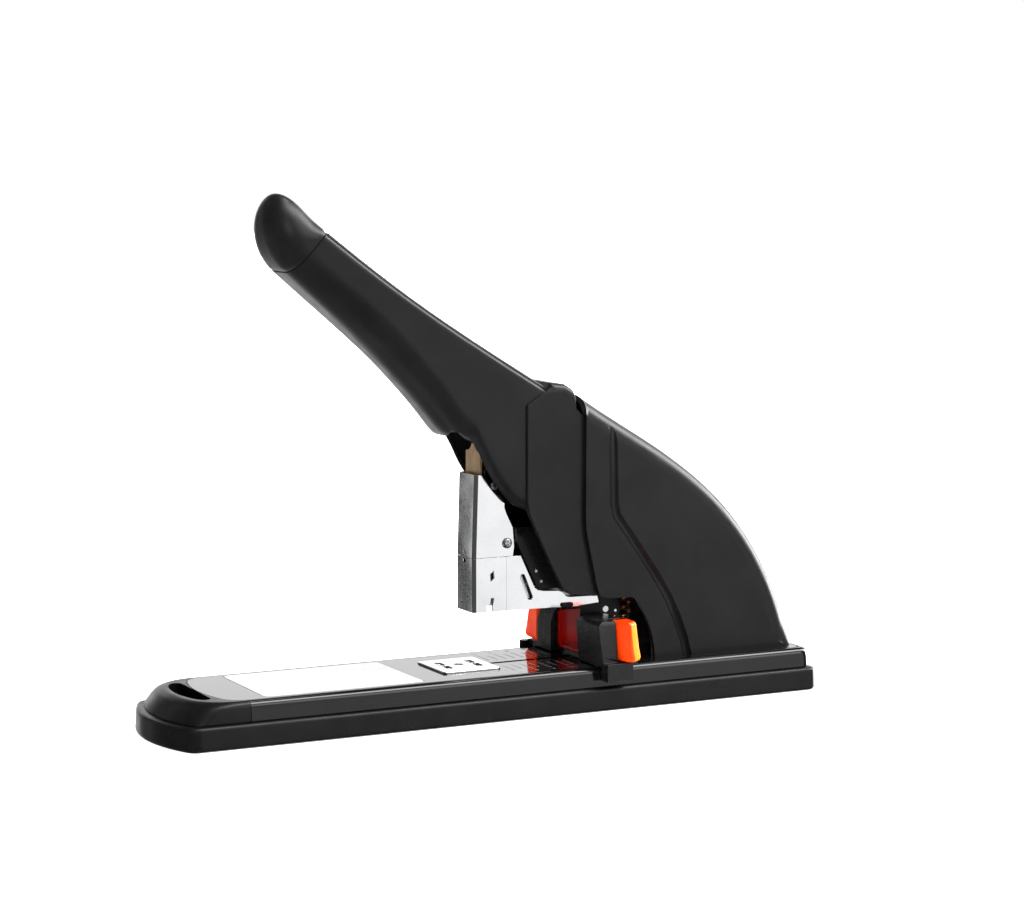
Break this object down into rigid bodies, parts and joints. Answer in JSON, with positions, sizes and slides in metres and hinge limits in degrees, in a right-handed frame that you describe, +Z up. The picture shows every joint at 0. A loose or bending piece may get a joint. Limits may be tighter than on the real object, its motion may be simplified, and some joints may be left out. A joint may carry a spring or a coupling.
{
  "type": "long-arm desktop stapler",
  "caption": "Heavy-duty long-arm desktop stapler with a raised handle, chrome magazine over an anvil plate and a sliding paper guide.",
  "frame": {"origin": "under the middle of the base, on the surface it stands on", "axes": "+X to the rear cover, -X to the anvil end and the nose, +Z up, Y across"},
  "size_m": [0.285, 0.077, 0.207],
  "materials": {
    "shell_black": "satin moulded",
    "grip_black": "fine matt",
    "base_gloss": "polished",
    "shoe_black": "satin",
    "label_white": "coated",
    "pad_rubber": "matt",
    "screw_steel": "zinc plated",
    "plate_steel": "plain",
    "anvil_chrome": "plated",
    "pin_steel": "ground",
    "ring_steel": "phosphated",
    "spring_steel": "drawn wire",
    "spring_copper": "copper washed wire",
    "head_chrome": "plated",
    "cover_black": "satin",
    "blade_steel": "tempered, straw tint",
    "staple_wire": "zinc coated wire",
    "guide_black": "polished",
    "guide_red": "moulded",
    "button_orange": "moulded"
  },
  "bodies": {
    "base": {"base_shoe": "shoe_black", "base_plate": "plate_steel", "base_cover": "base_gloss", "nose_cap": "shoe_black", "label_plate": "label_white", "foot_pads": "pad_rubber", "base_screws": "screw_steel", "anvil_plate": "anvil_chrome", "anvil_block": "plate_steel", "anvil_screws": "screw_steel", "frame_cheeks": "plate_steel", "frame_screws": "screw_steel", "rear_cover": "shell_black", "cover_screws": "screw_steel", "handle_pin": "pin_steel", "magazine_pivot_pin": "pin_steel", "retaining_rings": "ring_steel", "handle_spring": "spring_steel", "lift_spring": "spring_copper"},
    "handle": {"handle_shell": "shell_black", "handle_cap": "grip_black", "handle_inlay": "grip_black", "handle_collar": "shell_black", "handle_core": "plate_steel", "handle_screws": "screw_steel", "press_shoe": "plate_steel"},
    "magazine": {"magazine_channel": "head_chrome", "magazine_head": "head_chrome", "magazine_cover": "cover_black", "magazine_pin": "pin_steel", "driver_housing": "head_chrome", "housing_screws": "screw_steel", "staple_rail": "plate_steel", "staple_strip": "staple_wire", "pusher_spring": "spring_steel"},
    "driver": {"driver_blade": "blade_steel"},
    "pusher": {"staple_pusher": "cover_black"},
    "guide": {"guide_body": "guide_black", "guide_core": "guide_red", "guide_runner": "plate_steel", "guide_springs": "spring_steel"},
    "button_left": {"guide_button_left": "button_orange"},
    "button_right": {"guide_button_right": "button_orange"}
  },
  "joints": [
    {"name": "handle_hinge", "type": "hinge", "parent": "base", "child": "handle", "pos_m": [0.062, 0, 0.088], "axis": [0, -1, 0], "range_deg": [0, 35], "stiffness_Nm_per_rad": 2, "springref_deg": -28.65},
    {"name": "magazine_close", "type": "hinge", "parent": "base", "child": "magazine", "pos_m": [0.1, 0, 0.029], "axis": [0, -1, 0], "range_deg": [0, 11.45], "stiffness_Nm_per_rad": 0.8, "springref_deg": -28.65, "deforming": ["lift_spring"]},
    {"name": "driver_slide", "type": "slide", "parent": "magazine", "child": "driver", "axis": [0, 0, -1], "range_m": [0, 0.0177]},
    {"name": "pusher_slide", "type": "slide", "parent": "magazine", "child": "pusher", "axis": [1, 0, 0], "range_m": [0, 0.02], "stiffness_N_per_m": 120, "springref_m": -0.02},
    {"name": "guide_slide", "type": "slide", "parent": "base", "child": "guide", "axis": [1, 0, 0], "range_m": [-0.024, 0.005]},
    {"name": "button_left_press", "type": "slide", "parent": "guide", "child": "button_left", "axis": [0, 1, 0], "range_m": [0, 0.002], "stiffness_N_per_m": 400, "springref_m": -0.002},
    {"name": "button_right_press", "type": "slide", "parent": "guide", "child": "button_right", "axis": [0, -1, 0], "range_m": [0, 0.002], "stiffness_N_per_m": 400, "springref_m": -0.002}
  ],
  "couplings": [
    {"joint": "magazine_close", "follows": "handle_hinge", "ratio": 0.32571},
    {"joint": "driver_slide", "follows": "handle_hinge", "m_per_rad": 0.028812}
  ]
}
